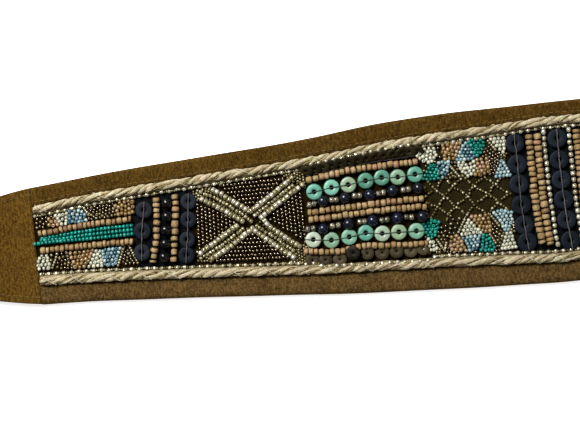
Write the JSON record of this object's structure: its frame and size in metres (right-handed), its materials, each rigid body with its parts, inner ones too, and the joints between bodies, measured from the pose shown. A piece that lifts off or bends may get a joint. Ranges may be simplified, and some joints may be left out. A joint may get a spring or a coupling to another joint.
{
  "type": "beaded belt",
  "caption": "Wide suede waist belt with a beaded front panel, twisted edge cords, plain strap ends and a frame buckle with a fixed peg.",
  "frame": {"origin": "middle of the belt's underside, where it rests", "axes": "+X along the belt from the buckle end to the tip, +Y towards the upper edge, +Z out of the beaded face"},
  "size_m": [0.9, 0.0906, 0.0091],
  "materials": {
    "suede": "napped olive brown suede",
    "cloth": "dark brown woven cloth",
    "cord_yarn": "twisted cream cotton cord",
    "turquoise": "polished pale turquoise stone",
    "navy": "dark navy, satin",
    "wood": "light bare wood",
    "dark_brown": "dark brown, polished",
    "silver": "silver lined glass",
    "brass": "aged brass",
    "seed_bead": "small glass beads in several colours",
    "thread": "sewing thread"
  },
  "bodies": {
    "root": {"suede_backing": "suede", "bead_ground": "cloth", "upper_border": "suede", "lower_border": "suede", "left_tab": "suede", "right_tab": "suede", "buckle": "brass", "upper_cord": "cord_yarn", "lower_cord": "cord_yarn", "left_stripe_wood_upper": "wood", "left_stripe_wood_lower": "wood", "left_column_wood_outer": "wood", "left_column_wood_inner": "wood", "left_row_wood_top": "wood", "left_row_wood_pair_upper": "wood", "left_row_wood_pair_lower": "wood", "left_row_wood_bottom": "wood", "left_row_brown_top": "dark_brown", "left_row_brown_bottom": "dark_brown", "left_row_turquoise_upper": "turquoise", "left_row_turquoise_lower": "turquoise", "left_row_rounds_upper": "navy", "left_row_rounds_lower": "navy", "left_column_discs_outer": "navy", "left_column_discs_inner": "navy", "left_column_rounds": "navy", "right_stripe_wood_upper": "wood", "right_stripe_wood_lower": "wood", "right_column_wood_outer": "wood", "right_column_wood_inner": "wood", "right_row_wood_top": "wood", "right_row_wood_pair_upper": "wood", "right_row_wood_pair_lower": "wood", "right_row_wood_bottom": "wood", "right_row_brown_top": "dark_brown", "right_row_brown_bottom": "dark_brown", "right_row_turquoise_upper": "turquoise", "right_row_turquoise_lower": "turquoise", "right_row_rounds_upper": "navy", "right_row_rounds_lower": "navy", "right_column_discs_outer": "navy", "right_column_discs_inner": "navy", "right_column_rounds": "navy", "centre_discs": "navy", "left_middle_discs": "navy", "left_middle_silver": "silver", "left_middle_wood_inner": "wood", "left_middle_wood_outer": "wood", "right_middle_discs": "navy", "right_middle_silver": "silver", "right_middle_wood_inner": "wood", "right_middle_wood_outer": "wood"}
  },
  "joints": []
}
